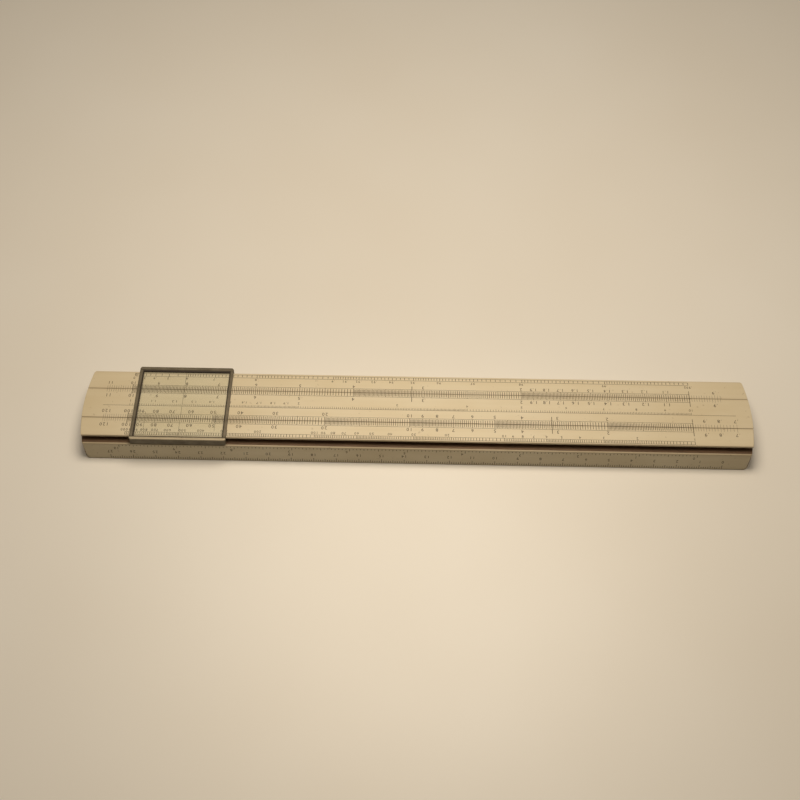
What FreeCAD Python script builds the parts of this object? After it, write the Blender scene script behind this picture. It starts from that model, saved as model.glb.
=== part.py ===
import FreeCAD, Part
import math
import os
import re
import Sketcher

# A 25 cm slide rule: a wooden stock in two sprung halves, a tongued slide between them and a framed
# glass cursor that runs in a groove along each long side. Millimetres, +Z up. +X runs along the
# scales in reading order and +Y towards the bevelled edge. The origin is at the middle of the
# whole width and length, on the underside. Cross-sections are drawn about the centre line of the
# face, and each part's Placement moves that line to where it lies in the row's frame.

doc = FreeCAD.newDocument("slide_rule")

# ---- driving dimensions ----------------------------------------------------------------------

sizes = {
    "rule_length": 297.4,     # over the crowns of the curved ends
    "rule_height": 12,
    "face_width": 35.15,      # from lip to lip
    "face_shift": -0.975,     # Y of the face's centre line
    "lower_face": 9.6,        # face below the slide
    "upper_face": 9.6,        # face above the slide
    "end_radius": 90,         # curve of both ends in plan
    "front_corner": 3.2,      # upright corners on the bevelled side
    "back_corner": 1.4,       # and on the other side
    "face_skin": 1.2,         # facing of the top, which overhangs the cursor grooves
    "edge_skin": 0.9,         # facing of the two long sides
    "back_skin": 0.8,         # facing of the underside and of the slide's back
    "groove_high": 1.9,       # cursor groove under each lip
    "groove_deep": 2,
    "ledge_out": 2.45,        # the bevelled edge starts this far outside the lip
    "bevel_out": 1.85,        # and leans out this much more down to the underside
    "flange_top": 4.2,        # top of the flanges that carry the well
    "halves_gap": 2,          # between the two halves of the stock
    "slide_base": 5.8,        # height of the slide's back
    "slide_gap": 0.12,        # running clearance at each side of the slide
    "tongue_out": 1.2,
    "tongue_base": 7.4,
    "tongue_top": 9.2,
    "tongue_gap": 0.15,       # clearance round each tongue
    "plate_thick": 0.6,       # sprung metal plate that joins the halves
    "plate_length": 251,
    "plate_inset": 0.3,       # from the walls of the well
    "well_skin": 0.7,         # facing of the well, over the plate
    "screw_radius": 0.6,
    "screw_head": 1.2,
    "screw_depth": 2.8,
    "screw_row": 5,           # rows of screws, from the middle of the well
    "screw_pitch": 58,
    "window_length": 16,      # clear plate at each end of the well
    "window_thick": 1,
    "window_inset": 3.5,      # from the end of the rule
    "opening_length": 10,     # hole in the back under each window
    "opening_width": 9,
    "pin_radius": 0.45,
    "pin_head": 0.8,
    "pin_head_high": 0.25,
    "pin_depth": 2.4,
    "pin_inset": 1.4,         # from the edges of the window
    "cursor_rest": 104.6,     # X of the cursor's centre line
    "cursor_width": 42.5,
    "bar_reach": 2.35,        # outer face of a cursor bar, beyond the lip
    "bar_thick": 1.7,
    "bar_top": 0.85,          # above the face
    "bar_drop": 2.95,         # below the face
    "bar_corner": 1.1,
    "bar_round": 0.4,
    "side_bar": 1.4,
    "glass_lift": 0.15,       # clearance over the face
    "glass_thick": 0.6,
    "rest_wide": 0.35,        # shelf that carries the edge of the glass
    "rest_high": 0.8,
    "runner_top": 1.5,        # top of a runner, below the face
    "runner_length": 39,
    "upper_runner_reach": 2.05,
    "lower_runner_reach": 1.65,
    "leaf_radius": 188,       # bow of the cursor's leaf spring
    "leaf_thick": 0.2,
    "leaf_length": 29,
    "leaf_high": 1.2,
    "leaf_clear": 0.1,        # from the back wall of the groove
}

sheet = doc.addObject("Spreadsheet::Sheet", "Sizes")
for line, (word, value) in enumerate(sizes.items(), start=1):
    sheet.set(f"A{line}", word)
    sheet.set(f"B{line}", str(value))
    sheet.setAlias(f"B{line}", word)
doc.recompute()

# ---- places that several parts share, as formulas of the driving dimensions -----------------

lip = "face_width / 2"
track_low = "(lower_face - face_width / 2)"
track_high = "(face_width / 2 - upper_face)"
track_middle = "((lower_face - upper_face) / 2)"
half_low = f"({track_middle} - halves_gap / 2)"
half_high = f"({track_middle} + halves_gap / 2)"
facing_base = "(rule_height - face_skin)"
ledge = "(rule_height - face_skin - groove_high)"
groove_wall = f"({lip} - groove_deep)"
tongue_tip = f"{track_high} + tongue_out"
bar_inside = f"({lip} + bar_reach - bar_thick)"


def bevel(height):
    """Y of the wood behind the bevelled edge at a height."""
    return f"{lip} + ledge_out - edge_skin + bevel_out * (1 - ({height}) / {ledge})"


def formula(words):
    """The same formula with every alias read from the sheet."""
    return re.sub(r"[a-z][a-z_]+", lambda found: "Sizes." + found.group(0), words)


def worth(words):
    return float(sheet.evalExpression(words))


# ---- builders -----------------------------------------------------------------------------

def origin_plane(body, role):
    return next(plane for plane in body.Origin.OriginFeatures if plane.Role == role)


def outline(body, name, plane, corners):
    """A closed sketch of straight lines, with every corner's place bound to the sheet."""
    sketch = body.newObject("Sketcher::SketchObject", name)
    sketch.AttachmentSupport = [(origin_plane(body, plane), "")]
    sketch.MapMode = "FlatFace"
    places = [FreeCAD.Vector(worth(across), worth(up), 0) for across, up in corners]
    count = len(corners)
    for i in range(count):
        sketch.addGeometry(Part.LineSegment(places[i], places[(i + 1) % count]))
    for i in range(count):
        sketch.addConstraint(Sketcher.Constraint("Coincident", i, 2, (i + 1) % count, 1))
    for i, (across, up) in enumerate(corners):
        for axis, words, value in (("X", across, places[i].x), ("Y", up, places[i].y)):
            held = sketch.addConstraint(Sketcher.Constraint("Distance" + axis, i, 1, value))
            sketch.setExpression(f"Constraints[{held}]", formula(words))
    return sketch


def bar_of(label, corners, length):
    """A body that carries one cross-section along X, half its length each way."""
    body = doc.addObject("PartDesign::Body", label)
    sketch = outline(body, label + "_section", "YZ_Plane", corners)
    pad = body.newObject("PartDesign::Pad", label + "_pad")
    pad.Profile = sketch
    pad.SideType = "Symmetric"
    pad.setExpression("Length", formula(length))
    return body


def rectangle(low, high, base, top):
    return [(low, base), (high, base), (high, top), (low, top)]


def box_at(label, low, high):
    """A box between two corners, each given as three formulas."""
    box = doc.addObject("Part::Box", label)
    for side, start, end in zip(("Length", "Width", "Height"), low, high):
        box.setExpression(side, formula(f"({end}) - ({start})"))
    for axis, start in zip("xyz", low):
        box.setExpression(f"Placement.Base.{axis}", formula(start))
    return box


def rod_at(label, radius, length, place):
    rod = doc.addObject("Part::Cylinder", label)
    rod.setExpression("Radius", formula(radius))
    rod.setExpression("Height", formula(length))
    for axis, words in zip("xyz", place):
        rod.setExpression(f"Placement.Base.{axis}", formula(words))
    return rod


def joined(kind, label, base, tool):
    result = doc.addObject(kind, label)
    result.Base = base
    result.Tool = tool
    return result


def group(label, members):
    bundle = doc.addObject("Part::Compound", label)
    bundle.Links = members
    return bundle


parts = []


def finish(part, label, along="0"):
    """Names a sub-part and moves it from the face's centre line into the row's frame."""
    part.Label = label
    part.setExpression("Placement.Base.x", formula(along))
    part.setExpression("Placement.Base.y", formula("face_shift"))
    parts.append(part)


# ---- the plan of the rule: curved ends and rounded upright corners -----------------------------

plan = doc.addObject("PartDesign::Body", "plan")
plan_sketch = plan.newObject("Sketcher::SketchObject", "plan_outline")
plan_sketch.AttachmentSupport = [(origin_plane(plan, "XY_Plane"), "")]
plan_sketch.MapMode = "FlatFace"
plan_low, plan_high = f"-{lip}", f"{lip} + ledge_out + bevel_out"
plan_middle = "(ledge_out + bevel_out) / 2"
radius, centre = worth("end_radius"), worth("rule_length / 2 - end_radius")
spread = math.asin((worth(plan_high) - worth(plan_low)) / 2 / radius)
for side in (1, -1):
    middle = FreeCAD.Vector(side * centre, worth(plan_middle), 0)
    circle = Part.Circle(middle, FreeCAD.Vector(0, 0, 1), radius)
    facing = 0 if side == 1 else math.pi
    plan_sketch.addGeometry(Part.ArcOfCircle(circle, facing - spread, facing + spread))
corner = [[plan_sketch.getPoint(arc, end) for end in (1, 2)] for arc in (0, 1)]
plan_sketch.addGeometry(Part.LineSegment(corner[0][1], corner[1][0]))
plan_sketch.addGeometry(Part.LineSegment(corner[1][1], corner[0][0]))
for first, second in (((0, 2), (2, 1)), ((2, 2), (1, 1)), ((1, 2), (3, 1)), ((3, 2), (0, 1))):
    plan_sketch.addConstraint(Sketcher.Constraint("Coincident", *first, *second))
for edge in (2, 3):
    plan_sketch.addConstraint(Sketcher.Constraint("Horizontal", edge))
for arc, way in ((0, 1), (1, -1)):
    held = plan_sketch.addConstraint(Sketcher.Constraint("DistanceY", arc, 3, worth(plan_middle)))
    plan_sketch.setExpression(f"Constraints[{held}]", formula(plan_middle))
    held = plan_sketch.addConstraint(Sketcher.Constraint("Radius", arc, radius))
    plan_sketch.setExpression(f"Constraints[{held}]", formula("end_radius"))
    held = plan_sketch.addConstraint(Sketcher.Constraint("DistanceX", arc, 3, way * centre))
    words = f"{way} * (rule_length / 2 - end_radius)"
    plan_sketch.setExpression(f"Constraints[{held}]", formula(words))
for edge, words in ((2, plan_high), (3, plan_low)):
    held = plan_sketch.addConstraint(Sketcher.Constraint("DistanceY", edge, 1, worth(words)))
    plan_sketch.setExpression(f"Constraints[{held}]", formula(words))
plan_pad = plan.newObject("PartDesign::Pad", "plan_pad")
plan_pad.Profile = plan_sketch
plan_pad.setExpression("Length", formula("rule_height"))
base = plan_pad
for word, way in (("front_corner", 1), ("back_corner", -1)):
    doc.recompute()
    upright = [
        f"Edge{number}"
        for number, edge in enumerate(base.Shape.Edges, start=1)
        if edge.BoundBox.ZLength > edge.BoundBox.XLength + edge.BoundBox.YLength
        and way * edge.BoundBox.Center.y > 0
    ]
    rounded = plan.newObject("PartDesign::Fillet", f"plan_{word}s")
    rounded.Base = (base, upright)
    rounded.setExpression("Radius", formula(word))
    base = rounded


def to_plan(label, corners):
    """A cross-section carried along the rule and trimmed to the plan."""
    blank = bar_of(label + "_blank", corners, "rule_length + 2")
    return joined("Part::Common", label + "_trimmed", blank, plan)


# ---- fasteners, and the openings under the windows --------------------------------------------

def screw(label, along, across):
    """A countersunk screw with its head flush in the sprung plate."""
    top = "flange_top + plate_thick"
    head = doc.addObject("Part::Cone", label + "_head")
    head.setExpression("Radius1", formula("screw_radius"))
    head.setExpression("Radius2", formula("screw_head"))
    head.setExpression("Height", formula("plate_thick"))
    for axis, words in zip("xyz", (along, across, "flange_top")):
        head.setExpression(f"Placement.Base.{axis}", formula(words))
    shank_place = (along, across, f"{top} - screw_depth")
    shank = rod_at(label + "_shank", "screw_radius", "screw_depth - plate_thick", shank_place)
    return joined("Part::Fuse", label, head, shank)


def pin(label, along, across):
    """A small pin with a flat head on top of a window."""
    top = "flange_top + window_thick"
    head = rod_at(label + "_head", "pin_head", "pin_head_high", (along, across, top))
    shank_place = (along, across, f"{top} - pin_depth")
    shank = rod_at(label + "_shank", "pin_radius", "pin_depth", shank_place)
    return joined("Part::Fuse", label, head, shank)


screws = [
    screw(f"screw_{step + 2}_{row}", f"{step} * screw_pitch", f"{track_middle} + {way} * screw_row")
    for step in range(-2, 3)
    for row, way in (("low", -1), ("high", 1))
]
plate_screws = group("plate_screws", screws)

window_edges = {}
openings, pins = [], []
for side, way in (("left", -1), ("right", 1)):
    window_middle = f"{way} * (rule_length / 2 - window_inset - window_length / 2)"
    window_edges[side] = (f"{window_middle} - window_length / 2", f"{window_middle} + window_length / 2")
    openings.append(box_at(
        side + "_opening",
        (f"{window_middle} - opening_length / 2", f"{track_middle} - opening_width / 2", "0"),
        (f"{window_middle} + opening_length / 2", f"{track_middle} + opening_width / 2", "flange_top"),
    ))
    for corner_name, along_way, across_way in (("a", -1, -1), ("b", -1, 1), ("c", 1, -1), ("d", 1, 1)):
        along = f"{window_middle} + {along_way} * (window_length / 2 - pin_inset)"
        wide = "(lower_face + upper_face)"
        across = f"{track_middle} + {across_way} * ((face_width - {wide}) / 2 - plate_inset - pin_inset)"
        pins.append(pin(f"{side}_pin_{corner_name}", along, across))
window_pins = group("window_pins", pins)
rail_cutters = group("rail_cutters", openings + screws + pins)
back_cutters = group("back_cutters", openings)
plate_cutters = group("plate_cutters", screws)
window_cutters = group("window_cutters", pins)

# ---- stock: two wooden rails, their facings, the sprung plate and the well -----------------------

upper_rail_section = [
    (half_high, "back_skin"),
    (bevel("back_skin"), "back_skin"),
    (bevel(ledge), ledge),
    (groove_wall, ledge),
    (groove_wall, facing_base),
    (track_high, facing_base),
    (track_high, "tongue_top + tongue_gap"),
    (f"{tongue_tip} + tongue_gap", "tongue_top + tongue_gap"),
    (f"{tongue_tip} + tongue_gap", "tongue_base - tongue_gap"),
    (track_high, "tongue_base - tongue_gap"),
    (track_high, "flange_top"),
    (half_high, "flange_top"),
]
lower_rail_section = [
    (half_low, "back_skin"),
    (half_low, "flange_top"),
    (track_low, "flange_top"),
    (track_low, "tongue_base - tongue_gap"),
    (f"{track_low} - tongue_out - tongue_gap", "tongue_base - tongue_gap"),
    (f"{track_low} - tongue_out - tongue_gap", "tongue_top + tongue_gap"),
    (track_low, "tongue_top + tongue_gap"),
    (track_low, facing_base),
    (f"-{groove_wall}", facing_base),
    (f"-{groove_wall}", ledge),
    (f"edge_skin - {lip}", ledge),
    (f"edge_skin - {lip}", "back_skin"),
]
for label, section in (("upper_rail", upper_rail_section), ("lower_rail", lower_rail_section)):
    finish(joined("Part::Cut", label, to_plan(label, section), rail_cutters), label)

facings = {
    "upper_face_strip": rectangle(track_high, lip, facing_base, "rule_height"),
    "lower_face_strip": rectangle(f"-{lip}", track_low, facing_base, "rule_height"),
    "upper_edge_strip": [
        (bevel("0"), "0"),
        (f"{bevel('0')} + edge_skin", "0"),
        (f"{lip} + ledge_out", ledge),
        (bevel(ledge), ledge),
    ],
    "lower_edge_strip": rectangle(f"-{lip}", f"edge_skin - {lip}", "0", ledge),
}
for label, section in facings.items():
    finish(to_plan(label, section), label)

backs = {
    "upper_back_strip": [
        (half_high, "0"),
        (bevel("0"), "0"),
        (bevel("back_skin"), "back_skin"),
        (half_high, "back_skin"),
    ],
    "lower_back_strip": rectangle(f"edge_skin - {lip}", half_low, "0", "back_skin"),
}
for label, section in backs.items():
    finish(joined("Part::Cut", label, to_plan(label, section), back_cutters), label)

well_low, well_high = f"{track_low} + plate_inset", f"{track_high} - plate_inset"
plate_top = "flange_top + plate_thick"
plate_section = rectangle(well_low, well_high, "flange_top", plate_top)
plate_blank = bar_of("spring_plate_blank", plate_section, "plate_length")
finish(joined("Part::Cut", "spring_plate", plate_blank, plate_cutters), "spring_plate")
finish(plate_screws, "plate_screws")

well_section = rectangle(well_low, well_high, plate_top, f"{plate_top} + well_skin")
finish(bar_of("well_strip", well_section, "plate_length"), "well_strip")

for side, (start, end) in window_edges.items():
    clear_plate = box_at(
        side + "_window_blank",
        (start, well_low, "flange_top"),
        (end, well_high, "flange_top + window_thick"),
    )
    label = side + "_index_window"
    finish(joined("Part::Cut", label, clear_plate, window_cutters), label)
finish(window_pins, "window_pins")

# ---- slide: a tongued wooden core with a facing on both sides --------------------------------

slide_low, slide_high = f"{track_low} + slide_gap", f"{track_high} - slide_gap"
core_base = "slide_base + back_skin"
slide_core_section = [
    (slide_low, core_base),
    (slide_high, core_base),
    (slide_high, "tongue_base"),
    (tongue_tip, "tongue_base"),
    (tongue_tip, "tongue_top"),
    (slide_high, "tongue_top"),
    (slide_high, facing_base),
    (slide_low, facing_base),
    (slide_low, "tongue_top"),
    (f"{track_low} - tongue_out", "tongue_top"),
    (f"{track_low} - tongue_out", "tongue_base"),
    (slide_low, "tongue_base"),
]
slide_sections = {
    "slide_core": slide_core_section,
    "slide_face_strip": rectangle(slide_low, slide_high, facing_base, "rule_height"),
    "slide_back_strip": rectangle(slide_low, slide_high, "slide_base", core_base),
}
for label, section in slide_sections.items():
    finish(to_plan(label, section), label)

# ---- cursor: a soldered metal frame, its glass, and the runners in the grooves ------------------

frame_base, frame_top = "rule_height - bar_drop", "rule_height + bar_top"
glass_base = "rule_height + glass_lift"


def across_places(way, near, far):
    """Low and high Y of a piece on one side of the face, given its near and far distances."""
    return (near, far) if way == 1 else (f"-({far})", f"-({near})")


def outer_edges(feature, outer_y, upright):
    """Names of a bar's upright edges, or of its top edge, on its outer face."""
    names = []
    for number, edge in enumerate(feature.Shape.Edges, start=1):
        bounds = edge.BoundBox
        if bounds.YLength > 0.01 or abs(bounds.YMin - outer_y) > 0.01:
            continue
        tall = bounds.ZLength > bounds.XLength
        if tall == upright and (tall or bounds.ZMin > worth("rule_height")):
            names.append(f"Edge{number}")
    return names


for side, way in (("upper", 1), ("lower", -1)):
    low, high = across_places(way, bar_inside, f"{bar_inside} + bar_thick")
    bar = bar_of(f"cursor_{side}_bar", rectangle(low, high, frame_base, frame_top), "cursor_width")
    outer_y = way * worth(f"{bar_inside} + bar_thick")
    square_bar = bar.Tip
    doc.recompute()
    uprights = outer_edges(square_bar, outer_y, upright=True)
    corners = bar.newObject("PartDesign::Fillet", f"{side}_bar_corners")
    corners.Base = (square_bar, uprights)
    corners.setExpression("Radius", formula("bar_corner"))
    doc.recompute()
    brow = outer_edges(corners, outer_y, upright=False)
    rounded = bar.newObject("PartDesign::Fillet", f"{side}_bar_round")
    rounded.Base = (corners, brow)
    rounded.setExpression("Radius", formula("bar_round"))
    finish(bar, f"cursor_{side}_bar", "cursor_rest")

    rest_places = across_places(way, f"{bar_inside} - rest_wide", bar_inside)
    rest_section = rectangle(*rest_places, f"{glass_base} - rest_high", glass_base)
    finish(bar_of(f"{side}_glass_rest", rest_section, "runner_length"), f"{side}_glass_rest", "cursor_rest")

    runner_places = across_places(way, f"{bar_inside} - {side}_runner_reach", bar_inside)
    runner_section = rectangle(*runner_places, frame_base, "rule_height - runner_top")
    finish(bar_of(f"{side}_runner", runner_section, "runner_length"), f"{side}_runner", "cursor_rest")

for side, way in (("left", -1), ("right", 1)):
    outside, inside = f"{way} * cursor_width / 2", f"{way} * (cursor_width / 2 - side_bar)"
    start, end = (outside, inside) if way == -1 else (inside, outside)
    label = f"cursor_{side}_bar"
    bar = box_at(label, (start, f"-{bar_inside}", glass_base), (end, bar_inside, frame_top))
    bar.Label = label
    bar.setExpression("Placement.Base.x", formula(f"cursor_rest + {start}"))
    bar.setExpression("Placement.Base.y", formula(f"face_shift - {bar_inside}"))
    parts.append(bar)

glass_section = rectangle(f"-{bar_inside}", bar_inside, glass_base, f"{glass_base} + glass_thick")
finish(bar_of("cursor_glass", glass_section, "cursor_width - 2 * side_bar"), "cursor_glass", "cursor_rest")

# the leaf spring bows from the lower runner towards the back wall of its groove
leaf_middle = f"-{groove_wall} - leaf_clear"
leaf_base = "rule_height - bar_drop + 0.1"
leaf_centre = ("0", f"{leaf_middle} - leaf_radius", leaf_base)
leaf_outside = rod_at("leaf_outside", "leaf_radius", "leaf_high", leaf_centre)
leaf_inside = rod_at("leaf_inside", "leaf_radius - leaf_thick", "leaf_high", leaf_centre)
leaf_ring = joined("Part::Cut", "leaf_ring", leaf_outside, leaf_inside)
leaf_span = box_at(
    "leaf_span",
    ("-leaf_length / 2", f"{leaf_middle} - groove_deep", leaf_base),
    ("leaf_length / 2", leaf_middle, f"{leaf_base} + leaf_high"),
)
finish(joined("Part::Common", "cursor_spring", leaf_ring, leaf_span), "cursor_spring", "cursor_rest")

# ---- check everything, then write the files --------------------------------------------------

doc.recompute()
for thing in doc.Objects:
    if "Invalid" in thing.State or "Error" in thing.State:
        raise RuntimeError(f"{thing.Label} failed: {thing.State}")
for part in parts:
    if part.Shape.isNull() or not part.Shape.isValid() or not part.Shape.Solids:
        raise RuntimeError(f"{part.Label} has no valid shape")

os.makedirs("parts", exist_ok=True)
for part in parts:
    box = part.Shape.BoundBox
    part.Shape.exportStep(f"parts/{part.Label}.step")
    print(
        f"{part.Label:20s} solids {len(part.Shape.Solids):2d}  volume {part.Shape.Volume:9.1f}"
        f"  x {box.XMin:7.2f} {box.XMax:7.2f}  y {box.YMin:7.2f} {box.YMax:7.2f}"
        f"  z {box.ZMin:6.2f} {box.ZMax:6.2f}"
    )
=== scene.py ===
# A 25 cm slide rule: aged celluloid faces with inked scales over a wooden stock and slide,
# and a metal-framed glass cursor. Everything is in metres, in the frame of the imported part.
import bpy
import numpy as np
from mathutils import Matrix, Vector


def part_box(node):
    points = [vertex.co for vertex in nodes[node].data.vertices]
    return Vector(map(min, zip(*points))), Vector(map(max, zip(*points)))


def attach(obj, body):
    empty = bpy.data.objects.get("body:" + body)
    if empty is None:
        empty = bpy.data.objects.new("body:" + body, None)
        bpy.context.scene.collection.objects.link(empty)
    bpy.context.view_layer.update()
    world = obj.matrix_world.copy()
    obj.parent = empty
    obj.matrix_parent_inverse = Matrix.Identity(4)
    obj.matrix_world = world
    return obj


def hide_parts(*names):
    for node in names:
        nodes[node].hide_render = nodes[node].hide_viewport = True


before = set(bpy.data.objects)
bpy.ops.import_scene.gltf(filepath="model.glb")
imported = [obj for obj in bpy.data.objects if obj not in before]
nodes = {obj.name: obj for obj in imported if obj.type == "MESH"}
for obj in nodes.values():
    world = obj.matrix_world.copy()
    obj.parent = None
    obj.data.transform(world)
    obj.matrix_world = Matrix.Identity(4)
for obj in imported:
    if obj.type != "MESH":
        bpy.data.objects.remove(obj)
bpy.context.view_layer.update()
mm = 0.001
print("frame loaded:", len(nodes), "nodes")


# shader maths

def tone(red, green, blue):  # display values, 0 to 255, as linear colour
    share = np.array([red, green, blue]) / 255
    linear = np.where(share <= 0.04045, share / 12.92, ((share + 0.055) / 1.055) ** 2.4)
    return (*linear.tolist(), 1.0)


class Wire:  # one socket, so that shader maths reads as plain expressions
    def __init__(self, paint, socket):
        self.paint, self.socket = paint, socket

    def maths(self, operation, first, second=0.0):
        return self.paint.add("Math", {"operation": operation}, {0: first, 1: second})

    def __add__(self, other):
        return self.maths("ADD", self, other)

    def __sub__(self, other):
        return self.maths("SUBTRACT", self, other)

    def __rsub__(self, other):
        return self.maths("SUBTRACT", other, self)

    def __mul__(self, other):
        return self.maths("MULTIPLY", self, other)

    def __truediv__(self, other):
        return self.maths("DIVIDE", self, other)

    def __rtruediv__(self, other):
        return self.maths("DIVIDE", other, self)

    def __pow__(self, other):
        return self.maths("POWER", self, other)

    def __abs__(self):
        return self.maths("ABSOLUTE", self)

    __radd__, __rmul__ = __add__, __mul__

    def between(self, low, high):  # 0 at low, 1 at high, held there outside
        return self.paint.add("MapRange", {"clamp": True}, {0: self, 1: low, 2: high, 3: 0.0, 4: 1.0})


class Paint:  # one material and its nodes
    def __init__(self, name):
        self.material = bpy.data.materials.new(name)
        self.material.use_nodes = True
        self.tree = self.material.node_tree
        self.tree.nodes.clear()
        self.place = self.add("TexCoord", give="Object")
        self.along, self.across, self.up = (
            self.add("SeparateXYZ", sockets={0: self.place}, give=axis) for axis in "XYZ"
        )

    def add(self, kind, settings=None, sockets=None, give=0):
        node = self.tree.nodes.new("ShaderNode" + kind)
        for word, value in (settings or {}).items():
            setattr(node, word, value)
        for socket, value in (sockets or {}).items():
            if isinstance(value, Wire):
                self.tree.links.new(value.socket, node.inputs[socket])
            else:
                node.inputs[socket].default_value = value
        return Wire(self, node.outputs[give])

    def mix(self, factor, first, second):
        return self.add("Mix", {"data_type": "RGBA"}, {0: factor, 6: first, 7: second}, give=2)

    def noise(self, stretch, detail=3.0, turn=0.0):  # cells per metre along each axis
        spread = self.add("Mapping", sockets={"Vector": self.place, "Scale": stretch, "Rotation": (0, 0, turn)})
        sockets = {"Vector": spread, "Scale": 1.0, "Detail": detail, "Roughness": 0.55}
        return self.add("TexNoise", sockets=sockets)

    def near(self, value, line, width):  # 1 on a line, falling away within its width
        return 1 / (1 + ((value - line) / width) ** 2)

    def shade(self, colour, roughness, height, rise, **fixed):  # rise is the bumps' height in metres
        sockets = {"Base Color": colour, "Roughness": roughness}
        sockets.update({word.replace("_", " "): value for word, value in fixed.items()})
        sockets["Normal"] = self.add("Bump", sockets={"Strength": 1.0, "Distance": rise, "Height": height})
        return self.add("BsdfPrincipled", sockets=sockets)

    def done(self, surface):
        output = self.tree.nodes.new("ShaderNodeOutputMaterial")
        self.tree.links.new(surface.socket, output.inputs["Surface"])
        return self.material


# the rule's own lines, read from the frame

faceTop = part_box("upper_face_strip")[1].z
lipLow, trackLow = (corner.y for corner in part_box("lower_face_strip"))
trackHigh, lipHigh = (corner.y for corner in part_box("upper_face_strip"))
slideLow, slideHigh = (corner.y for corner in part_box("slide_face_strip"))
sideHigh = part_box("upper_edge_strip")[1].y
plan = {
    "crown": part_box("slide_core")[1].x, "endRadius": 90 * mm,
    "frontCorner": 3.2 * mm, "backCorner": 1.4 * mm,
}


def ruleEnd(across):
    # half the rule's length at a distance across: an arc, with a small arc tangent to it at each corner
    radius = plan["endRadius"]
    off = np.asarray(across, float) - (lipLow + sideHigh) / 2
    centre = plan["crown"] - radius
    reach = centre + np.sqrt(radius**2 - off**2)
    for way, corner in ((1, plan["frontCorner"]), (-1, plan["backCorner"])):
        middle = (sideHigh - lipLow) / 2 - corner
        cornerAlong = centre + np.sqrt((radius - corner) ** 2 - middle**2)
        past = way * off > middle * radius / (radius - corner)
        reach = np.where(past, cornerAlong + np.sqrt(np.maximum(corner**2 - (way * off - middle) ** 2, 0)), reach)
    return reach


# mesh builders

def piece(name, points, faces, body, material, standsFor=()):
    mesh = bpy.data.meshes.new(name)
    mesh.from_pydata(np.asarray(points).tolist(), [], [list(map(int, face)) for face in faces])
    mesh.materials.append(material)
    mesh.validate()
    made = bpy.data.objects.new(name, mesh)
    bpy.context.scene.collection.objects.link(made)
    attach(made, body)
    if standsFor:
        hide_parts(*standsFor)
    return made


def evenNormals(made):
    made.data.polygons.foreach_set("use_smooth", [True] * len(made.data.polygons))
    made.modifiers.new("evenNormals", "WEIGHTED_NORMAL").weight = 80
    return made


def roundedBar(corners, radius, endAt, steps=4, rows=56):
    # A four-sided section carried along X from -endAt(y) to +endAt(y). Every edge is an arc of the
    # radius: the section shrinks by r(1 - sin a) where it is r(1 - cos a) short of the end.
    (yA, zA), (yB, zB), (yC, zC), (yD, zD) = corners  # low bottom, high bottom, high top, low top
    wide = (np.hypot(yB - yA, zB - zA) + np.hypot(yC - yD, zC - zD)) / 2
    tall = (np.hypot(yD - yA, zD - zA) + np.hypot(yC - yB, zC - zB)) / 2
    turn = np.linspace(0, np.pi / 2, steps + 1)
    keep = 0.98  # just under 1, so that no corner arc shrinks to a point
    straight = np.linspace(-1, 1, rows)[1:-1]
    loops = []
    for way in (-1, 1):
        for angle in turn if way == -1 else turn[::-1]:
            inset = keep * radius * (1 - np.sin(angle))
            arc = radius - inset
            halfWide, halfTall = wide / 2 - inset, tall / 2 - inset
            edge = halfWide - arc + arc * np.sin(turn)
            drop = halfTall - arc + arc * np.cos(turn)
            p = np.concatenate([-edge[::-1], straight * (halfWide - arc), edge])
            q = np.concatenate([drop[::-1], np.full(rows - 2, halfTall), drop])
            s = 0.5 + np.concatenate([p, p[::-1]]) / wide
            t = 0.5 + np.concatenate([q, -q[::-1]]) / tall
            y = (1 - t) * ((1 - s) * yA + s * yB) + t * ((1 - s) * yD + s * yC)
            z = (1 - t) * ((1 - s) * zA + s * zB) + t * ((1 - s) * zD + s * zC)
            loops.append(np.stack([way * (endAt(y) - radius * (1 - np.cos(angle))), y, z], 1))
    around = loops[0].shape[0]
    here = np.arange(around)
    ahead = (here + 1) % around
    faces = []
    for ring in range(len(loops) - 1):
        base, later = ring * around, (ring + 1) * around
        faces += np.stack([base + here, later + here, later + ahead, base + ahead], 1).tolist()
    half = np.arange(around // 2 - 1)
    far = (len(loops) - 1) * around
    faces += np.stack([half, half + 1, around - 2 - half, around - 1 - half], 1).tolist()
    faces += np.stack([far + half, far + around - 1 - half, far + around - 2 - half, far + half + 1], 1).tolist()
    return np.concatenate(loops), faces


def straightBar(low, high, radius, endAt, **more):
    (yLow, zLow), (yHigh, zHigh) = low, high
    return roundedBar([(yLow, zLow), (yHigh, zLow), (yHigh, zHigh), (yLow, zHigh)], radius, endAt, **more)


# ink: lines and figures on one flat surface

inkLook = {
    "raised": 0.02 * mm, "thin": 0.21 * mm, "bold": 0.26 * mm, "hair": 0.13 * mm,
    "beyond": 0.7,  # share of a hair that a mark past the index lines is wide
    "glyphHeight": 0.73, "advance": 0.62, "dotAdvance": 0.34,  # shares of an em
}
boxFaces = np.array([
    [0, 2, 3], [0, 3, 1], [4, 5, 7], [4, 7, 6], [0, 1, 5], [0, 5, 4],
    [2, 6, 7], [2, 7, 3], [0, 4, 6], [0, 6, 2], [1, 3, 7], [1, 7, 5],
])
glyphs = {}


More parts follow.
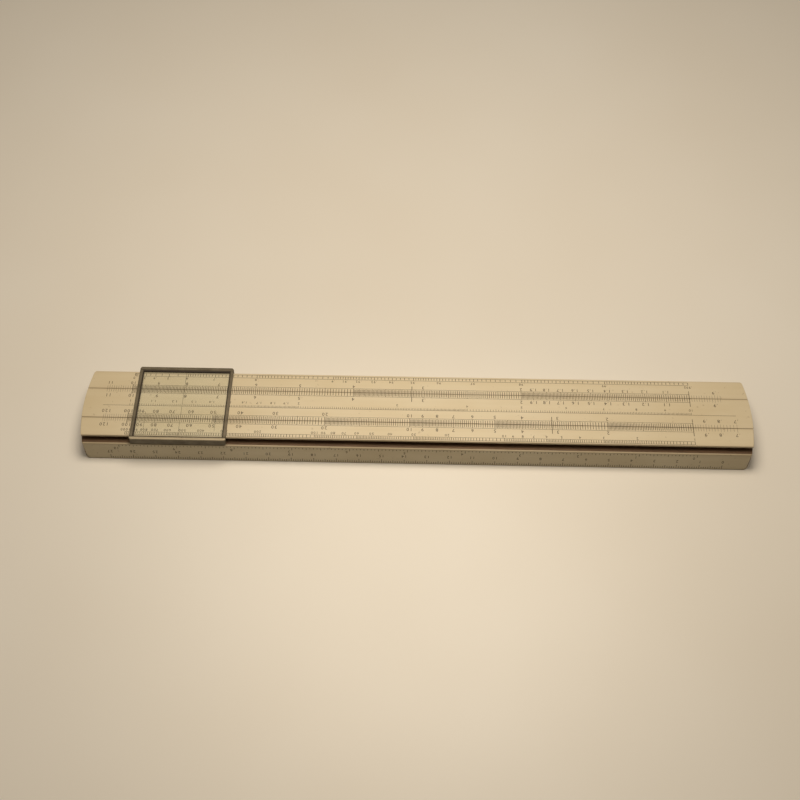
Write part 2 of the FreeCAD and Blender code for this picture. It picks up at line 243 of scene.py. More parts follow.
def glyph(character):
    # a figure of the built-in font as loose triangles, one unit high per em, raised a little both ways
    if character not in glyphs:
        curve = bpy.data.curves.new("figure", "FONT")
        curve.body, curve.resolution_u, curve.extrude, curve.align_x = character, 2, 0.01, "CENTER"
        holder = bpy.data.objects.new("figure", curve)
        bpy.context.scene.collection.objects.link(holder)
        mesh = bpy.data.meshes.new_from_object(holder.evaluated_get(bpy.context.evaluated_depsgraph_get()))
        mesh.calc_loop_triangles()
        points = np.empty(len(mesh.vertices) * 3)
        mesh.vertices.foreach_get("co", points)
        corners = np.empty(len(mesh.loop_triangles) * 3, int)
        mesh.loop_triangles.foreach_get("vertices", corners)
        glyphs[character] = points.reshape(-1, 3), corners.reshape(-1, 3)
        bpy.data.objects.remove(holder)
        bpy.data.meshes.remove(mesh)
    return glyphs[character]


class Ink:  # u runs along X, v across the surface, w out of it
    def __init__(self, origin, across, out):
        self.origin, self.across, self.out = (np.array(v, float) for v in (origin, across, out))
        self.points, self.faces, self.count = [], [], 0

    def keep(self, points, faces):
        self.points.append(points)
        self.faces.append(faces + self.count)
        self.count += len(points)

    def bars(self, u0, u1, v0, v1):  # one slab for each entry
        u0, u1, v0, v1 = np.broadcast_arrays(*(np.atleast_1d(v).astype(float) for v in (u0, u1, v0, v1)))
        u = np.stack([u0, u1] * 4, 1)
        v = np.stack([v0, v0, v1, v1] * 2, 1)
        w = np.broadcast_to([-inkLook["raised"]] * 4 + [inkLook["raised"]] * 4, u.shape)
        faces = boxFaces[None] + 8 * np.arange(len(u))[:, None, None]
        self.keep(np.stack([u, v, w], 2).reshape(-1, 3), faces.reshape(-1, 3))

    def ticks(self, places, base, tips, width=inkLook["thin"]):
        half = width / 2
        places = np.asarray(places, float)
        self.bars(places - half, places + half, np.minimum(base, tips), np.maximum(base, tips))

    def figure(self, words, u, v, height):  # centred on u and v
        size = height / inkLook["glyphHeight"]
        steps = [inkLook["dotAdvance" if c == "." else "advance"] for c in words]
        at = u - size * sum(steps) / 2
        for character, step in zip(words, steps):
            points, faces = glyph(character)
            moved = points * size
            moved[:, 0] += at + size * step / 2
            moved[:, 1] += v - height / 2
            moved[:, 2] = np.sign(moved[:, 2]) * inkLook["raised"]
            self.keep(moved, faces)
            at += size * step

    def finish(self, name, body, material):
        flat = np.concatenate(self.points)
        points = self.origin + flat[:, :1] * [1, 0, 0] + flat[:, 1:2] * self.across + flat[:, 2:] * self.out
        return piece(name, points, np.concatenate(self.faces), body, material)


# materials

celluloidLook = {
    "face": {"base": tone(214, 203, 178), "aged": tone(203, 188, 155), "grimeAndShade": tone(122, 98, 66), "rough": 0.36},
    "edge": {"base": tone(206, 195, 169), "aged": tone(188, 173, 141), "grimeAndShade": tone(104, 84, 58), "rough": 0.42},
    "back": {"base": tone(217, 205, 177), "aged": tone(200, 184, 148), "grimeAndShade": tone(112, 90, 60), "rough": 0.40},
}
seamWidth = 0.35 * mm


def celluloid(name, look, lines, seamShare=0.15):
    # ivory plastic: long pale streaks, yellow clouds, grime along its seams and at the handled ends; where
    # seamShare is raised, as on the edge strips, the seam darkening at the ledge's height is painted shade
    paint = Paint(name)
    streak = paint.noise((7, 420, 420), 4.0)
    cloud = paint.noise((22, 55, 55), 3.0)
    speck = paint.noise((620, 620, 620), 2.0).between(0.69, 0.76)
    scratch = paint.noise((60, 3200, 3200), 1.0, turn=0.05).between(0.66, 0.72)
    ends = abs(paint.along).between(0.105, 0.150)
    grimeAndShade = speck * 0.5
    for axis, line in lines:
        # dark lines along the seams: dirt, and with a raised seamShare also painted shade of the ledge under the
        # lip
        grimeAndShade = grimeAndShade + paint.near(getattr(paint, axis), line, seamWidth) * (seamShare + cloud * 0.6)
    grimeAndShade = (grimeAndShade * 0.6 + ends * ends * 0.06 * cloud).between(0.0, 1.0)
    colour = paint.mix(cloud.between(0.35, 0.75) * 0.7 + ends * 0.15, look["base"], look["aged"])
    colour = paint.mix(streak.between(0.42, 0.7) * 0.28, colour, look["aged"])
    colour = paint.mix(grimeAndShade, colour, look["grimeAndShade"])
    rough = look["rough"] + cloud * 0.14 + grimeAndShade * 0.25 - scratch * 0.08
    height = streak * 0.5 + paint.noise((900, 1500, 1500), 2.0) * 0.3 - scratch * 0.7
    polish = {"Specular_IOR_Level": 0.45, "Coat_Weight": 0.12, "Coat_Roughness": 0.25}
    return paint.done(paint.shade(colour, rough, height, 0.006 * mm, **polish))


woodLook = {"pale": tone(120, 92, 64), "mid": tone(98, 72, 48), "dark": tone(54, 35, 22), "rough": 0.55}


def wood(name, look):
    # oiled hardwood: growth bands and fine fibres along the rule, short dark pores, darker where handled
    paint = Paint(name)
    band = paint.noise((9, 330, 420), 4.0)
    fibre = paint.noise((60, 2600, 2600), 3.0)
    pore = paint.noise((260, 5200, 5200), 1.0).between(0.62, 0.70)
    oil = paint.noise((30, 60, 60), 2.0)
    colour = paint.mix(band.between(0.32, 0.68), look["mid"], look["pale"])
    colour = paint.mix(fibre.between(0.4, 0.75) * 0.5, colour, look["dark"])
    colour = paint.mix(pore * 0.75 + oil.between(0.5, 0.8) * 0.25, colour, look["dark"])
    height = fibre * 0.4 + band * 0.3 - pore * 1.0
    return paint.done(paint.shade(colour, look["rough"] + fibre * 0.15 - oil * 0.1, height, 0.03 * mm))


metalLook = {
    "cursor": {
        "base": tone(106, 98, 82), "worn": tone(124, 116, 98), "dull": tone(88, 80, 64),
        # the lighter edge colour below is a painted highlight for the front bar's top edge, over worn metal
        "wornHighlight": tone(178, 166, 142), "rough": 0.42, "metal": 0.35,
    },
    "plate": {
        "base": tone(186, 184, 178), "worn": tone(206, 204, 198), "dull": tone(120, 112, 100),
        "rough": 0.38, "metal": 1.0,
    },
    "brass": {
        "base": tone(196, 156, 88), "worn": tone(222, 186, 118), "dull": tone(104, 74, 38),
        "rough": 0.32, "metal": 1.0,
    },
    "spring": {
        "base": tone(120, 120, 126), "worn": tone(160, 158, 154), "dull": tone(60, 58, 66),
        "rough": 0.28, "metal": 1.0,
    },
}


def metal(name, look, stretch=(90, 900, 900), wornHighlight=None):
    # rolled or plated metal: drawn lines, dull tarnish in patches, a few pits, and along a chosen edge a lighter
    # band that is a painted highlight over wear
    paint = Paint(name)
    drawn = paint.noise(stretch, 3.0)
    patch = paint.noise((160, 160, 160), 4.0)
    pit = paint.noise((1500, 1500, 1500), 1.0).between(0.70, 0.75)
    colour = paint.mix(patch.between(0.42, 0.66), look["base"], look["dull"])
    colour = paint.mix(drawn.between(0.5, 0.8) * 0.3, colour, look["worn"])
    if wornHighlight:  # the edge that a thumb pushes, as Y and Z, where a painted highlight is laid over the wear
        edge = paint.near(paint.across, wornHighlight[0], 0.45 * mm) * paint.near(paint.up, wornHighlight[1], 0.35 * mm)
        # lighten that edge: painted highlight, and metal worn by the thumb
        colour = paint.mix(edge.between(0.1, 0.6) * 0.9, colour, look["wornHighlight"])
    colour = paint.mix(pit * 0.8, colour, look["dull"])
    rough = look["rough"] + patch * 0.24 + pit * 0.2
    height = drawn * 0.5 - pit * 1.0 + patch * 0.2
    return paint.done(paint.shade(colour, rough, height, 0.012 * mm, Metallic=look["metal"]))


inkTones = {"fresh": tone(44, 36, 28), "faded": tone(108, 90, 64)}


def inkMaterial(name, look):
    # ink rubbed into engraved lines: mostly dark, browner and thinner where hands have worn it
    paint = Paint(name)
    worn = paint.noise((140, 400, 400), 3.0).between(0.40, 0.72)
    colour = paint.mix(worn * 0.6, look["fresh"], look["faded"])
    return paint.done(paint.shade(colour, 0.5 + worn * 0.15, paint.noise((2500, 2500, 2500), 1.0), 0.004 * mm))


glassLook = {
    "tint": tone(254, 255, 255), "smear": tone(196, 200, 196), "jointAndShade": tone(50, 40, 27), "rough": 0.05,
    # the dark band is widest at low Y (the back) and at high X, where it is painted shade of the frame's inner
    # faces and the gap below them; it is thinnest at high Y, the front
    "jointAndShadeWidths": (0.3 * mm, 0.5 * mm, 0.8 * mm, 0.12 * mm),  # at low X, high X, low Y and high Y
}


def glass(name, look, low, high):
    # clear plate: a thin reflection and faint smears over what shows through it, with a dark band along its rim:
    # cement and dirt where it meets the frame, and painted shade of the frame's inner faces where a side's band is
    # widened
    paint = Paint(name)
    inward = [paint.along - low.x, high.x - paint.along, paint.across - low.y, high.y - paint.across]
    nearest = inward[0] / look["jointAndShadeWidths"][0]
    for distance, width in zip(inward[1:], look["jointAndShadeWidths"][1:]):
        nearest = nearest.maths("MINIMUM", nearest, distance / width)
    rim = 1 / (1 + nearest ** 6)
    smear = paint.noise((45, 70, 70), 4.0)
    clear = paint.add("BsdfTransparent", sockets={"Color": look["tint"]})
    gloss = paint.add("BsdfPrincipled", sockets={
        "Base Color": look["smear"], "Roughness": smear.between(0.5, 0.8) * 0.1 + look["rough"], "Metallic": 0.8,
    })
    share = paint.add("Fresnel", sockets={"IOR": 1.5}) * 0.35 + smear.between(0.45, 0.8) * 0.02
    pane = paint.add("MixShader", sockets={0: share, 1: clear, 2: gloss})
    # the dark rim colour: cement, and painted shade on the sides whose band is widened
    cementAndShade = paint.add("BsdfPrincipled", sockets={"Base Color": look["jointAndShade"], "Roughness": 0.6})
    return paint.done(paint.add("MixShader", sockets={0: rim, 1: pane, 2: cementAndShade}))


faceSeams = [("across", lipLow), ("across", trackLow), ("across", trackHigh), ("across", lipHigh)]
faceMaterial = celluloid("faceCelluloid", celluloidLook["face"], faceSeams)
# the edge strips' seams at the ledge top and at the foot; seamShare 0.5 darkens them: at the ledge as painted shade
# of its rounded corner under the lip, at the foot as a darker line
edgeSeamsAndShade = [("up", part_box("upper_edge_strip")[1].z), ("up", 0.0)]
edgeMaterial = celluloid("edgeCelluloid", celluloidLook["edge"], edgeSeamsAndShade, seamShare=0.5)
backSeams = [("across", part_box("lower_back_strip")[1].y), ("across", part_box("upper_back_strip")[0].y)]
backMaterial = celluloid("backCelluloid", celluloidLook["back"], backSeams)
slideSeams = [("across", slideLow), ("across", slideHigh)]
slideBackMaterial = celluloid("slideBackCelluloid", celluloidLook["back"], slideSeams)
wellSeams = [("across", trackLow), ("across", trackHigh)]
wellMaterial = celluloid("wellCelluloid", celluloidLook["edge"], wellSeams)
woodMaterial = wood("oiledWood", woodLook)
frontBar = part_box("cursor_upper_bar")[1]
# a painted highlight, over thumb wear, along the front bar's top outer edge
cursorMetal = metal("cursorMetal", metalLook["cursor"], wornHighlight=(frontBar.y - 0.5 * mm, frontBar.z))
plateMetal = metal("plateMetal", metalLook["plate"], (30, 1600, 1600))
brassMetal = metal("brassMetal", metalLook["brass"], (900, 900, 900))
springMetal = metal("springMetal", metalLook["spring"])
scaleInk = inkMaterial("scaleInk", inkTones)
glassLow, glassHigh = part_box("cursor_glass")
cursorGlass = glass("cursorGlass", glassLook, glassLow, glassHigh)
windowLook = {
    **glassLook, "tint": tone(246, 242, 228), "jointAndShade": tone(120, 96, 58), "rough": 0.12,
    "jointAndShadeWidths": (0.3 * mm,) * 4,
}
windowMaterials = {
    side: glass(side + "WindowPlastic", windowLook, *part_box(side + "_index_window")) for side in ("left", "right")
}
for nodeName, material in {
    "upper_rail": woodMaterial, "lower_rail": woodMaterial, "slide_core": woodMaterial,
    "upper_back_strip": backMaterial, "lower_back_strip": backMaterial,
    "spring_plate": plateMetal, "plate_screws": brassMetal, "window_pins": brassMetal,
    "left_index_window": windowMaterials["left"], "right_index_window": windowMaterials["right"],
    "upper_glass_rest": cursorMetal, "lower_glass_rest": cursorMetal,
    "upper_runner": cursorMetal, "lower_runner": cursorMetal, "cursor_spring": springMetal,
}.items():
    holder = nodes[nodeName].data
    holder.materials.clear()
    holder.materials.append(material)
print("materials made")

# facings: strips with softened edges

facing = {
    "lipRound": 0.28 * mm, "slideRound": 0.14 * mm, "edgeRound": 0.25 * mm,
    "edgeThick": 0.9 * mm, "ledgeOut": 2.45 * mm,
}


def facingOf(node, body, material, radius, endAt=ruleEnd):
    low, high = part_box(node)
    points, faces = straightBar((low.y, low.z), (high.y, high.z), radius, endAt)
    return evenNormals(piece(node + "_shell", points, faces, body, material, [node]))


facingOf("upper_face_strip", "stock", faceMaterial, facing["lipRound"])
facingOf("lower_face_strip", "stock", faceMaterial, facing["lipRound"])
facingOf("slide_face_strip", "slide", faceMaterial, facing["slideRound"])
facingOf("slide_back_strip", "slide", slideBackMaterial, facing["slideRound"])
facingOf("lower_edge_strip", "stock", edgeMaterial, facing["edgeRound"])
wellLow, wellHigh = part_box("well_strip")


def wellEnd(across):  # square ends
    return np.full(np.shape(across), wellHigh.x)


facingOf("well_strip", "stock", wellMaterial, facing["slideRound"], wellEnd)

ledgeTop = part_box("upper_edge_strip")[1].z
edgeInside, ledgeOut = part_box("upper_edge_strip")[0].y, lipHigh + facing["ledgeOut"]
bevelSection = [(sideHigh - facing["edgeThick"], 0), (sideHigh, 0), (ledgeOut, ledgeTop), (edgeInside, ledgeTop)]
points, faces = roundedBar(bevelSection, facing["edgeRound"], ruleEnd)
evenNormals(piece(
    "upper_edge_strip_shell", points, faces, "stock", edgeMaterial, ["upper_edge_strip"],
))
print("facings made")

# the cursor's frame and glass

cursorLook = {
    "round": 0.3 * mm, "corner": 1.1 * mm, "sideRound": 0.2 * mm, "glassRound": 0.12 * mm,
    "hairline": 0.1 * mm, "lipInset": 0.3 * mm,
    "sideLineOut": 15.7 * mm, "sideLineFrom": 13 * mm, "sideLineTo": 3 * mm,  # from the middle and the high lip
}
cursorMiddle = (glassLow.x + glassHigh.x) / 2
halfCursor = (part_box("cursor_right_bar")[1].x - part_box("cursor_left_bar")[0].x) / 2


def cursorBar(side, points, faces):
    name = f"cursor_{side}_bar"
    evenNormals(piece(name + "_shell", points, faces, "cursor", cursorMetal, [name]))


for side, way in (("upper", 1), ("lower", -1)):
    low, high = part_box(f"cursor_{side}_bar")
    outside = high.y if way == 1 else low.y

    def barEnd(y, way=way, outside=outside):  # square inside, an arc at the outer corner
        over = np.maximum(cursorLook["corner"] - way * (outside - y), 0)
        return halfCursor - cursorLook["corner"] + np.sqrt(np.maximum(cursorLook["corner"] ** 2 - over**2, 0))

    points, faces = straightBar((low.y, low.z), (high.y, high.z), cursorLook["round"], barEnd)
    points[:, 0] += cursorMiddle
    cursorBar(side, points, faces)

for side in ("left", "right"):
    low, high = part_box(f"cursor_{side}_bar")
    halfLong, middle = (high.y - low.y) / 2, (high.y + low.y) / 2
    points, faces = straightBar(
        (low.x, low.z), (high.x, high.z), cursorLook["sideRound"],
        lambda x, halfLong=halfLong: np.full(np.shape(x), halfLong), rows=8,
    )
    points = points[:, [1, 0, 2]] + [0, middle, 0]
    faces = [face[::-1] for face in faces]  # X and Y change places, which mirrors the bar
    cursorBar(side, points, faces)

points, faces = straightBar(
    (glassLow.y, glassLow.z), (glassHigh.y, glassHigh.z), cursorLook["glassRound"],
    lambda y: np.full(np.shape(y), (glassHigh.x - glassLow.x) / 2), steps=2, rows=12,
)
points[:, 0] += cursorMiddle
evenNormals(piece("cursor_glass_plate", points, faces, "cursor", cursorGlass, ["cursor_glass"]))
hairline = Ink((0, 0, glassLow.z), (0, 1, 0), (0, 0, 1))
hairline.ticks(
    [cursorMiddle], lipLow + cursorLook["lipInset"], lipHigh - cursorLook["lipInset"], cursorLook["hairline"],
)
for way in (-1, 1):
    hairline.ticks(
        [cursorMiddle + way * cursorLook["sideLineOut"]],
        lipHigh - cursorLook["sideLineFrom"], lipHigh - cursorLook["sideLineTo"], cursorLook["hairline"],
    )
hairline.finish("cursor_hairlines", "cursor", scaleInk)
print("cursor made")

# scales

scaleEnds = (-122, 128)  # of the calculating rows along X, in mm
indexAt = scaleEnds[0] * mm
decade = 250 * mm


def unit(k):
    return indexAt + decade * np.log10(k)


def square(k):
    return indexAt + decade / 2 * np.log10(k)


def cube(k):
    return indexAt + decade / 3 * np.log10(k)


def inverse(k):
    return indexAt + decade * (1 - np.log10(k))


def cosine(k):  # the root of 1 - k squared
    return indexAt + decade * (1 + np.log10(1 - np.square(k)) / 2)


def fallsOn(values, step):  # which values are a whole number of steps
    return np.abs(values / step - np.round(values / step)) < 1e-6


def divisions(spans):
    # marks of every span (from, to, step, middle step, long step) with how long each is, as a share
    marks, shares = [], []
    for start, stop, step, middle, wide in spans:
        values = start + step * np.arange(round((stop - start) / step))
        share = np.full(len(values), 0.82)
        for coarse, size in ((middle, 0.92), (wide, 1.0)):
            share[fallsOn(values, coarse)] = size
        marks.append(values)
        shares.append(share)
    return np.concatenate(marks), np.concatenate(shares)


def rulerShares(count, rest, *steps):
    # how long each of a ruler's marks is: the size of the widest step (every so many, size) it falls on
    marks, shares = np.arange(count), np.full(count, rest)
    for every, size in steps:
        shares[marks % every == 0] = size
    return shares


oneTurn = [(1, 2, 0.01, 0.05, 0.1), (2, 4, 0.02, 0.1, 0.5), (4, 10, 0.05, 0.1, 0.5)]
squareTurn = [(1, 2, 0.02, 0.1, 0.5), (2, 5, 0.05, 0.1, 0.5), (5, 10, 0.1, 0.5, 1)]
cubeTurn = [(1, 3, 0.05, 0.1, 0.5), (3, 6, 0.1, 0.5, 1), (6, 10, 0.2, 1, 1)]


def times(spans, factor):
    return [tuple(factor * value for value in span) for span in spans]


hundreds = [10**turn * n for turn in range(2) for n in range(1, 10)]
squareSpans = [(0.7, 1, 0.02, 0.1, 0.1)] + squareTurn + times(squareTurn, 10) + [(100, 125, 2, 10, 20)]
unitSpans = [(0.88, 1, 0.01, 0.05, 0.1)] + oneTurn + [(10, 11.2, 0.1, 0.5, 1)]
onePointOnes = [1.1, 1.2, 1.3, 1.4, 1.5, 1.6, 1.7, 1.8, 1.9]
scales = {  # rows from the low lip, in mm: where the marks start, and how far the longest reach
    "cubes": {
        "place": cube, "spans": cubeTurn + times(cubeTurn, 10) + times(cubeTurn, 100) + [(1000, 1001, 1, 1, 1)],
        "base": 34.55, "tip": 32.95, "figures": 31.95, "high": 1.35,
        "numbers": [10**turn * n for turn in range(3) for n in range(1, 10)] + [1000],
    },
    "upperSquares": {
        "place": square, "spans": squareSpans,
        "base": 25.6, "tip": 27.75, "figures": 29.3, "high": 1.75,
        "numbers": [0.7, 0.8, 0.9] + hundreds + [100, 120],
    },
    "lowerSquares": {
        "place": square, "spans": squareSpans,
        "base": 25.5, "tip": 23.4, "figures": 21.95, "high": 1.75, "body": "slide",
        "numbers": [0.7, 0.8, 0.9] + hundreds + [100, 120],
    },
    "inverse": {
        "place": inverse, "spans": oneTurn + [(10, 10.1, 0.1, 1, 1)],
        "base": 18.8, "tip": 17.55, "figures": 16.3, "high": 1.25, "body": "slide", "ink": 0.14 * mm,
        "numbers": onePointOnes + list(range(1, 11)),
    },
    "slideUnits": {
        "place": unit, "spans": unitSpans,
        "base": 9.72, "tip": 11.75, "figures": 13.4, "high": 1.75, "body": "slide",
        "numbers": [0.9] + onePointOnes + list(range(1, 12)),
    },
    "stockUnits": {
        "place": unit, "spans": unitSpans,
        "base": 9.58, "tip": 7.6, "figures": 6.45, "high": 1.6,
        "numbers": [0.9] + onePointOnes + list(range(1, 12)),
    },
    "roots": {
        "place": cosine,
        "spans": [
            (0.995, 0.99, -0.0002, 0.001, 0.005), (0.99, 0.98, -0.0005, 0.001, 0.005),
            (0.98, 0.95, -0.001, 0.005, 0.01), (0.95, 0.9, -0.002, 0.01, 0.01),
            (0.9, 0.8, -0.005, 0.01, 0.05), (0.8, 0.6, -0.01, 0.05, 0.1),
            (0.6, -0.01, -0.05, 0.1, 0.1),
        ],
        "base": 0.95, "tip": 2.4, "figures": 3.6, "high": 1.3,
        "numbers": [
            0.995, 0.99, 0.98, 0.97, 0.96, 0.95, 0.94, 0.93, 0.92, 0.91, 0.9, 0.8, 0.7, 0.6, 0.5, 0.4, 0.3, 0,
        ],
    },
}
faceInk = {
    "stock": Ink((0, lipLow, faceTop), (0, 1, 0), (0, 0, 1)),
    "slide": Ink((0, lipLow, faceTop), (0, 1, 0), (0, 0, 1)),
}


def shortNumber(value):
    return f"{value:g}".lstrip("0") or "0"


for name, row in scales.items():
    ink = faceInk[row.get("body", "stock")]
    marks, shares = divisions(row["spans"])
    base, tip = row["base"] * mm, row["tip"] * mm
    places = row["place"](marks)
    beyond = (places < indexAt - mm / 2) | (places > indexAt + decade + mm / 2)  # finer past the index lines
    widths = np.where(beyond, inkLook["hair"] * inkLook["beyond"], row.get("ink", inkLook["thin"]))
    ink.ticks(places, base, base + (tip - base) * shares, widths)
    for number in row["numbers"]:
        at = row["place"](number)
        nudge = 0.1 * mm if number < 1 else 0  # its point is narrow
        ink.figure(shortNumber(number), at + nudge, row["figures"] * mm, row["high"] * mm)

# thin lines along the rows, index lines across them, and the marks at pi
thinLines = [("stock", row, *scaleEnds) for row in (34.55, 33.0, 27.9, 7.5, 2.5, 0.95)]
thinLines += [("slide", 23.3, *scaleEnds), ("slide", 18.8, -141.5, 140.0), ("slide", 11.85, *scaleEnds)]
for body, line, start, stop in thinLines:
    faceInk[body].bars(start * mm, stop * mm, line * mm - inkLook["hair"] / 2, line * mm + inkLook["hair"] / 2)
for body, low, high in (
    ("stock", 25.6, 28.3), ("slide", 22.9, 25.5), ("slide", 9.72, 12.4), ("stock", 7.1, 9.58),
):
    faceInk[body].ticks([indexAt, indexAt + decade], low * mm, high * mm, inkLook["bold"])
for body, low, high, place in (
    ("slide", 9.72, 14.2, unit), ("stock", 5.7, 9.58, unit),
    ("slide", 21.1, 25.4, square), ("stock", 25.6, 30.1, square),
):
    faceInk[body].ticks([place(np.pi)], low * mm, high * mm, inkLook["bold"])
faceInk["stock"].finish("stock_face_scales", "stock", scaleInk)
faceInk["slide"].finish("slide_face_scales", "slide", scaleInk)
print("face scales made")

# the bevelled edge: centimetres along its foot, inches along its top
centimetres = {"marks": 271, "zeroAt": -134.89, "inset": 0.55, "high": 2.0, "figures": 4.6, "figureHigh": 1.6}
inches = {
    "marks": 161, "zeroAt": -123.26, "inset": 0.5, "high": 1.5,
    "figures": 2.6, "figureHigh": 1.5, "figureAside": 1.3,
}
inchLong = 25.4
slope = np.array([0, sideHigh - ledgeOut, -ledgeTop])
slopeLong = np.linalg.norm(slope)
slope = slope / slopeLong
bevelInk = Ink((0, ledgeOut, ledgeTop), slope, (0, -slope[2], slope[1]))
foot, top = slopeLong - centimetres["inset"] * mm, inches["inset"] * mm
tenths = np.arange(centimetres["marks"])
tenthShare = rulerShares(centimetres["marks"], 0.5, (5, 0.75), (10, 1.0))
bevelInk.ticks((centimetres["zeroAt"] + tenths) * mm, foot, foot - tenthShare * centimetres["high"] * mm)
for number in range(28):
    at = (centimetres["zeroAt"] + 10 * number) * mm
    bevelInk.figure(str(number), at, centimetres["figures"] * mm, centimetres["figureHigh"] * mm)
sixteenths = np.arange(inches["marks"])
inchShare = rulerShares(inches["marks"], 0.45, (4, 0.65), (8, 0.8), (16, 1.0))
bevelInk.ticks((inches["zeroAt"] + inchLong / 16 * sixteenths) * mm, top, top + inchShare * inches["high"] * mm)
for number in range(11):
    at = (inches["zeroAt"] + inchLong * number) * mm + inches["figureAside"] * mm
    bevelInk.figure(str(number), at, inches["figures"] * mm, inches["figureHigh"] * mm)
bevelInk.finish("bevel_ruler_scales", "stock", scaleInk)

# the upright edge: two trigonometric rows, in degrees
edgeInk = Ink((0, lipLow, 0), (0, 0, 1), (0, -1, 0))
edgeLook = {"below": 1.4, "reach": 1.3, "figures": 0.75, "figureHigh": 1.1}  # in mm, about a row's middle
angleRows = {  # each row's middle in mm, with its formula and its first and last degree
    5.9: (lambda a: unit(10 * np.sin(np.radians(a))), 6, 90),
    2.2: (lambda a: unit(10 * np.tan(np.radians(a))), 6, 45),
}
for row, (formula, start, stop) in angleRows.items():
    degrees = np.concatenate([
        np.arange(start, min(stop, 20), 0.1), np.arange(20, min(stop, 40), 0.5), np.arange(40, stop + 0.5, 1),
    ])
    share = np.where(fallsOn(degrees, 5), 1.0, np.where(fallsOn(degrees, 1), 0.8, 0.5))
    foot = row - edgeLook["below"]
    edgeInk.ticks(formula(degrees), foot * mm, (foot + edgeLook["reach"] * share) * mm)
    last = [50, 60, 90] if stop == 90 else []
    for number in [*range(start, 20, 2), *range(20, min(stop, 40) + 1, 5), *last]:
        at = formula(number)
        edgeInk.figure(str(number), at, (row + edgeLook["figures"]) * mm, edgeLook["figureHigh"] * mm)
edgeInk.finish("edge_angle_scales", "stock", scaleInk)

# the well: centimetres that carry on from the bevelled edge when the slide is drawn out
wellInk = Ink((0, wellLow.y, wellHigh.z), (0, 1, 0), (0, 0, 1))
wellRuler = {
    "marks": 250, "startAt": -124.5, "base": 14.6, "high": 2.6,
    "first": 28, "figures": 10.8, "figureHigh": 1.7, "figureAside": 1.8,
}
wellTenths = np.arange(wellRuler["marks"])
wellShare = rulerShares(wellRuler["marks"], 0.5, (5, 0.75), (10, 1.0))
wellTips = (wellRuler["base"] - wellRuler["high"] * wellShare) * mm
wellInk.ticks((wellRuler["startAt"] + wellTenths) * mm, wellRuler["base"] * mm, wellTips)
for number in range(25):
    at = (wellRuler["startAt"] + 10 * number) * mm + wellRuler["figureAside"] * mm
    words = str(wellRuler["first"] + number)
    wellInk.figure(words, at, wellRuler["figures"] * mm, wellRuler["figureHigh"] * mm)
wellInk.finish("well_ruler_scales", "stock", scaleInk)

# the slide's back: three rows of powers of e
slideBackInk = Ink((0, slideHigh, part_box("slide_back_strip")[0].z), (0, -1, 0), (0, 0, -1))
powerLook = {"marks": 121, "base": 0.2, "short": 1.0, "long": 1.7, "figures": -0.9, "figureHigh": 1.3}
powerRows = {  # each row in mm: the smallest power of e on it, and its figures
    2.6: (0.01, [1.01, 1.015, 1.02, 1.03, 1.04, 1.05, 1.06, 1.08, 1.1]),
    7.6: (0.1, [1.15, 1.2, 1.3, 1.4, 1.5, 1.6, 1.8, 2, 2.5]),
    12.6: (1.0, [3, 4, 5, 6, 8, 10, 20, 50, 100, 500, 1000, 5000]),
}
powerTips = rulerShares(powerLook["marks"], powerLook["short"], (10, powerLook["long"]))
for row, (power, numbers) in powerRows.items():
    even = np.exp(power * 10 ** np.linspace(0, 1, powerLook["marks"]))
    slideBackInk.ticks(unit(np.log(even) / power), (row + powerLook["base"]) * mm, (row + powerTips) * mm)
    for number in numbers:
        at = np.log(number) / power
        if 0.99 <= at <= 10.01:
            words, v = shortNumber(number), (row + powerLook["figures"]) * mm
            slideBackInk.figure(words, unit(at), v, powerLook["figureHigh"] * mm)
slideBackInk.finish("slide_back_scales", "slide", scaleInk)

# the underside: a table of roots, figures only
tableInk = Ink((0, 0, 0), (0, -1, 0), (0, 0, -1))
table = {
    "columns": 20, "pitch": 12.2, "high": 1.15, "halfLong": 121, "lineAway": 1.6, "lineHalf": 0.06,
    "rows": {"upper": (-4.5, -8.0, -11.5, -15.0), "lower": (13.6, 10.6, 7.6, 4.6)},
    "first": {"upper": 1, "lower": 41},
}
for strip, rows in table["rows"].items():
    for line, height in enumerate(rows):
        for column in range(table["columns"]):
            number = table["first"][strip] + column + table["columns"] * (line // 2)
            words = str(number) if line % 2 == 0 else f"{number ** 0.5:.3f}"
            at = (column - (table["columns"] - 1) / 2) * table["pitch"] * mm
            tableInk.figure(words, at, height * mm, table["high"] * mm)
    for height in (rows[0] + table["lineAway"], rows[1] - table["lineAway"], rows[3] - table["lineAway"]):
        low, high = (height - table["lineHalf"]) * mm, (height + table["lineHalf"]) * mm
        tableInk.bars(-table["halfLong"] * mm, table["halfLong"] * mm, low, high)
tableInk.finish("back_tables", "stock", scaleInk)

# one reading line under each clear window
windowLine = {"inset": 3.5 * mm, "wide": 0.12 * mm}
for side in ("left", "right"):
    low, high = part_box(side + "_index_window")
    windowInk = Ink((0, 0, low.z), (0, 1, 0), (0, 0, 1))
    lineLow, lineHigh = low.y + windowLine["inset"], high.y - windowLine["inset"]
    windowInk.ticks([(low.x + high.x) / 2], lineLow, lineHigh, windowLine["wide"])
    windowInk.finish(side + "_window_line", "stock", scaleInk)
print("other scales made")

# table, light and camera

tableLook = {
    "size": 12.0, "drop": 0.05 * mm, "pale": tone(231, 229, 225), "warm": tone(226, 222, 215), "rough": 0.5,
}


def tableMaterial(look):
    # a pale painted top: very faint clouds and a fine orange-peel
    paint = Paint("paleTable")
    cloud = paint.noise((4, 4, 4), 3.0)
    colour = paint.mix(cloud.between(0.35, 0.7), look["pale"], look["warm"])
    peel = paint.noise((700, 700, 700), 2.0)
    return paint.done(paint.shade(colour, look["rough"] + cloud * 0.1, peel, 0.01 * mm))


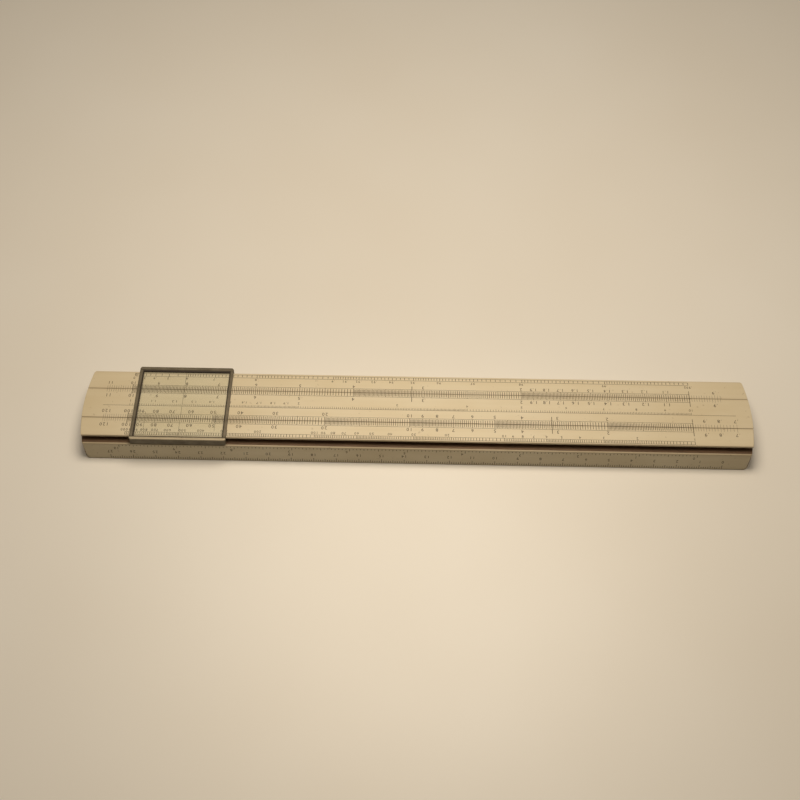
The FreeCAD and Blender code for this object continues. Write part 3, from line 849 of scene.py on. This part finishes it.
half = tableLook["size"] / 2
corners = [(x * half, y * half, -tableLook["drop"]) for x, y in ((-1, -1), (1, -1), (1, 1), (-1, 1))]
floorMesh = bpy.data.meshes.new("pale_table")
floorMesh.from_pydata(corners, [], [(0, 1, 2, 3)])
floorMesh.materials.append(tableMaterial(tableLook))
floor = bpy.data.objects.new("pale_table", floorMesh)
bpy.context.scene.collection.objects.link(floor)

room = {"colour": (1.0, 0.86, 0.67), "strength": 0.10}
lamps = {
    "near": {"at": (0.0, -0.083, 0.42), "aim": (0, 0.0, 0), "size": 0.24, "power": 1.18},
    "ceiling": {"at": (0.0, -0.5, 2.4), "aim": (0, 0.0, 0), "size": 1.8, "power": 17.0},
    "pool": {"at": (0.0, -0.12, 0.56), "aim": (0, 0.080, 0), "spread": 16, "size": 0.1, "power": 5.4},
}


def turned(at, aim):  # the turn that points -Z from one place at another
    return (Vector(aim) - Vector(at)).to_track_quat("-Z", "Y").to_euler()


for name, lamp in lamps.items():
    light = bpy.data.lights.new(name, "SPOT" if "spread" in lamp else "AREA")
    light.energy, light.color = lamp["power"], room["colour"]
    if "spread" in lamp:
        light.spot_size, light.spot_blend = np.radians(lamp["spread"]), 1.0
        light.shadow_soft_size = lamp["size"]
    else:
        light.size = lamp["size"]
    holder = bpy.data.objects.new(name, light)
    holder.location = lamp["at"]
    holder.rotation_euler = turned(lamp["at"], lamp["aim"])
    bpy.context.scene.collection.objects.link(holder)
world = bpy.data.worlds.new("room")
world.use_nodes = True
background = world.node_tree.nodes["Background"]
background.inputs["Color"].default_value = (*room["colour"], 1)
background.inputs["Strength"].default_value = room["strength"]
bpy.context.scene.world = world
bpy.context.scene.view_settings.view_transform = "Standard"

view = {
    "at": (0.00001, 0.33590, 0.48302), "aim": (0.00751, -0.00525, 0.012),
    "lens": 58.5, "sensor": 36.0, "clip": (0.01, 20),
}
camera = bpy.data.cameras.new("camera")
camera.lens, camera.sensor_width = view["lens"], view["sensor"]
camera.clip_start, camera.clip_end = view["clip"]
eye = bpy.data.objects.new("camera", camera)
eye.location = view["at"]
eye.rotation_euler = turned(view["at"], view["aim"])
bpy.context.scene.collection.objects.link(eye)
bpy.context.scene.camera = eye
print("scene lit")
